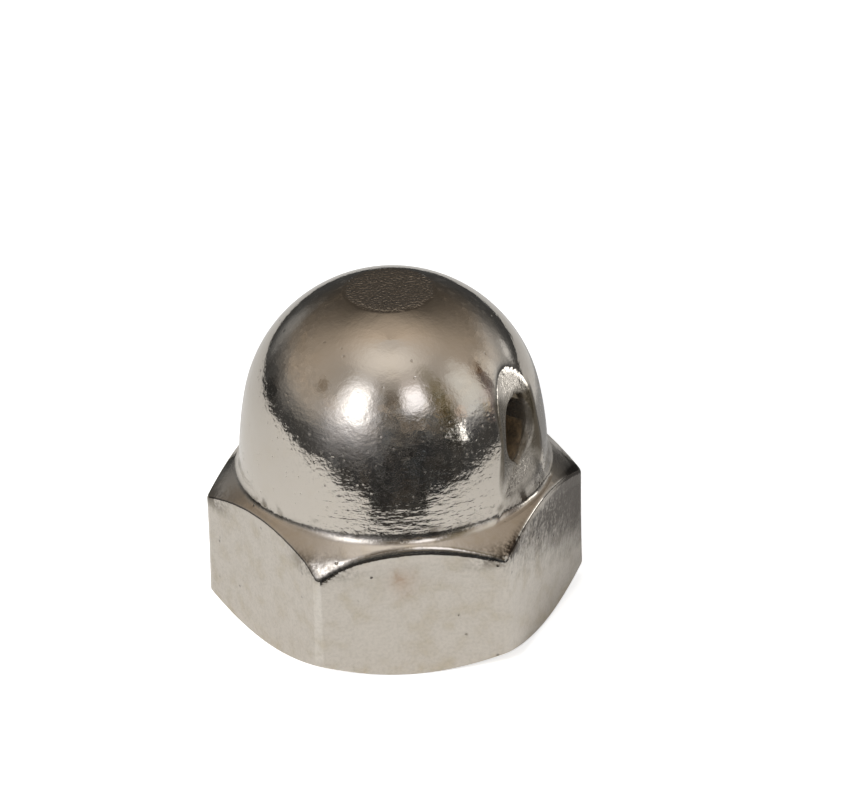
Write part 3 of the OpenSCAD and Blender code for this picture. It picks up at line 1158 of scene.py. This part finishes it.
@dataclass
class Studio:
    """The small white table, the cards beside it, the white world and the two lamps.

    The table's outline is in millimetres, with the nut at its origin and the camera's side at negative y.
    The table and the cards are turned by turn, so that they face the camera. The lamps are in metres,
    radians and watts, and table_lift and world_level are shares of white.
    """

    table_outline: tuple[tuple[int, int], ...] = (
        (-130, 130),
        (-150, 5),
        (-100, -18),
        (-58, -26),
        (-46, -39),
        (-10, -34),
        (-7, -24),
        (9, -24),
        (12, -33),
        (28, -29),
        (44, -19),
        (46, -8),
        (130, 0),
        (130, 130),
    )
    # A narrow bright card on the right, which glows for the metal to mirror, and a wide grey one behind it, a
    # painted shadow that the metal mirrors in place of the lit table there.
    cards: tuple[Card, ...] = (
        Card(95, 26, 4.6, 10.3, 13.4, 3.0),
        Card(135, 20, 14, -5, 7, 0.3),
    )
    turn: float = math.radians(-5.1)
    table_colour: str = "#ECEBE9"
    table_lift: float = 0.7
    world_level: float = 0.37
    key_place: Point = (-0.22, -0.27, 0.23)
    key_size: float = 0.12
    key_power: float = 1.5
    pool_height: float = 0.4
    pool_angle: float = math.radians(6.8)
    pool_power: float = 2.5
    pool_softness: float = 0.03

    # How much of a card is there: all of it in the middle, none of it at its edges.
    CARD_RULES = """
aside = abs(x * cos(turn) + y * sin(turn)) / half_width
middle = (low + high) / 2
above = abs(z - middle) / (high - middle)
cover = rise(aside, 1, 0.5) * rise(above, 1, 0.6)
"""

    def piece(self, name: str, corners: list[Point]) -> bpy.types.Object:
        """Make one flat piece of the studio.

        Args:
            name: The piece's name.
            corners: Its corners in order, in metres, before the studio is turned.

        Returns:
            The piece, turned with the studio.
        """
        mesh = bpy.data.meshes.new(name)
        mesh.from_pydata(corners, [], [tuple(range(len(corners)))])
        piece = bpy.data.objects.new(name, mesh)
        piece.rotation_euler.z = self.turn
        bpy.context.scene.collection.objects.link(piece)
        return piece

    def table(self) -> bpy.types.Object:
        """Lay the table, whose uneven front edge lies a short way in front of the nut.

        The camera sees it brighter than it is lit, so that it goes over into the white background.

        Returns:
            The table, with its matt material.
        """
        piece = self.piece("table", [(x * MM, y * MM, 0.0) for x, y in self.table_outline])
        material = bpy.data.materials.new("matt white laminate")
        material.use_nodes = True
        tree = material.node_tree
        shader = tree.nodes["Principled BSDF"]
        shader.inputs["Base Color"].default_value = linear(self.table_colour)
        shader.inputs["Roughness"].default_value = 0.6
        shader.inputs["Specular IOR Level"].default_value = 0.1
        shader.inputs["Emission Color"].default_value = linear(WHITE)
        seen = add(tree, "ShaderNodeLightPath").outputs["Is Camera Ray"]
        lift = work_out(tree, "lift = share * seen", {"seen": seen, "share": self.table_lift})
        tree.links.new(lift["lift"], shader.inputs["Emission Strength"])
        piece.data.materials.append(material)
        return piece

    def card(self, place: Card) -> bpy.types.Object:
        """Stand one card beside the nut, for the metal's reflections only.

        Args:
            place: The card's direction, place, size and brightness.

        Returns:
            The card, with its fading material.
        """
        turn = math.radians(place.azimuth)
        corners = []
        for aside, height in ((-1, place.low), (1, place.low), (1, place.high), (-1, place.high)):
            x = place.distance * math.sin(turn) + aside * place.half_width * math.cos(turn)
            y = aside * place.half_width * math.sin(turn) - place.distance * math.cos(turn)
            corners.append((x * MM, y * MM, height * MM))
        piece = self.piece("card", corners)
        show_to_metal_only(piece)
        material = bpy.data.materials.new("glowing reflection card")
        material.use_nodes = True
        tree = material.node_tree
        tree.nodes.clear()
        where = add(tree, "ShaderNodeSeparateXYZ", {0: add(tree, "ShaderNodeTexCoord").outputs["Object"]})
        known = {"x": where.outputs[0], "y": where.outputs[1], "z": where.outputs[2], "turn": turn}
        known |= {"half_width": place.half_width * MM, "low": place.low * MM, "high": place.high * MM}
        named = work_out(tree, self.CARD_RULES, known)
        clear = add(tree, "ShaderNodeBsdfTransparent")
        shine = add(tree, "ShaderNodeEmission", {"Color": linear(WHITE), "Strength": place.level})
        feeds = {0: named["cover"], 1: clear.outputs[0], 2: shine.outputs[0]}
        faded = add(tree, "ShaderNodeMixShader", feeds)
        add(tree, "ShaderNodeOutputMaterial", {"Surface": faded.outputs[0]})
        piece.data.materials.append(material)
        return piece

    def world(self) -> None:
        """Set a plain white world, which the camera, mirrors and glass see as pure white."""
        world = bpy.data.worlds.new("white studio")
        world.use_nodes = True
        bpy.context.scene.world = world
        tree = world.node_tree
        tree.nodes.clear()
        path = add(tree, "ShaderNodeLightPath")
        known = {
            "camera": path.outputs["Is Camera Ray"],
            "glossy": path.outputs["Is Glossy Ray"],
            "through": path.outputs["Is Transmission Ray"],
            "level": self.world_level,
        }
        rules = "strength = level + (1 - level) * max(max(camera, glossy), through)"
        named = work_out(tree, rules, known)
        glow = add(tree, "ShaderNodeBackground", {"Color": linear(WHITE), "Strength": named["strength"]})
        add(tree, "ShaderNodeOutputWorld", {"Surface": glow.outputs[0]})

    def lights(self) -> None:
        """Hang a key light in front on the left and a spot overhead, which pools on the table.

        The metal mirrors neither of them, because the room has its own soft boxes for that.
        """
        data = bpy.data.lights.new("key", "AREA")
        data.shape = "DISK"
        data.size = self.key_size
        data.energy = self.key_power
        lamp = bpy.data.objects.new("key", data)
        lamp.location = self.key_place
        lamp.rotation_euler = (-Vector(self.key_place)).to_track_quat("-Z", "Y").to_euler()
        lamp.visible_glossy = False
        bpy.context.scene.collection.objects.link(lamp)
        data = bpy.data.lights.new("pool", "SPOT")
        data.spot_size = self.pool_angle
        data.spot_blend = 1.0
        data.shadow_soft_size = self.pool_softness
        data.energy = self.pool_power
        spot = bpy.data.objects.new("pool", data)
        spot.location.z = self.pool_height
        spot.visible_glossy = False
        bpy.context.scene.collection.objects.link(spot)


@dataclass
class View:
    """The camera, a long lens that looks down on the nut, in millimetres and degrees."""

    place: Point = (-27.31, -305.49, 188.08)
    tilt: Point = (60.1, 1.19, -6.153)
    lens: float = 288.18
    sensor: float = 36.0

    def build(self) -> None:
        """Make the camera the scene's own."""
        data = bpy.data.cameras.new("camera")
        data.lens = self.lens
        data.sensor_width = self.sensor
        data.clip_start = 0.01
        camera = bpy.data.objects.new("camera", data)
        camera.location = Vector(self.place) * MM
        camera.rotation_euler = Euler([math.radians(angle) for angle in self.tilt])
        bpy.context.scene.collection.objects.link(camera)
        bpy.context.scene.camera = camera


def main() -> None:
    """Build the camera, the studio and the nut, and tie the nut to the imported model."""
    logging.basicConfig(level=logging.INFO, format="%(name)s: %(message)s")
    bpy.context.scene.view_settings.view_transform = "Standard"
    View().build()
    studio = Studio()
    studio.world()
    studio.lights()
    cards = [studio.card(place) for place in studio.cards]
    studio.table()
    Room().build(studio.turn)
    nut = CapNut()
    piece = nut.build(NickelPlating(nut).material())
    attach(piece, "root")
    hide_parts("cap_nut")
    log.info("%s: %d faces", piece.name, len(piece.data.polygons))


if __name__ == "__main__":
    main()
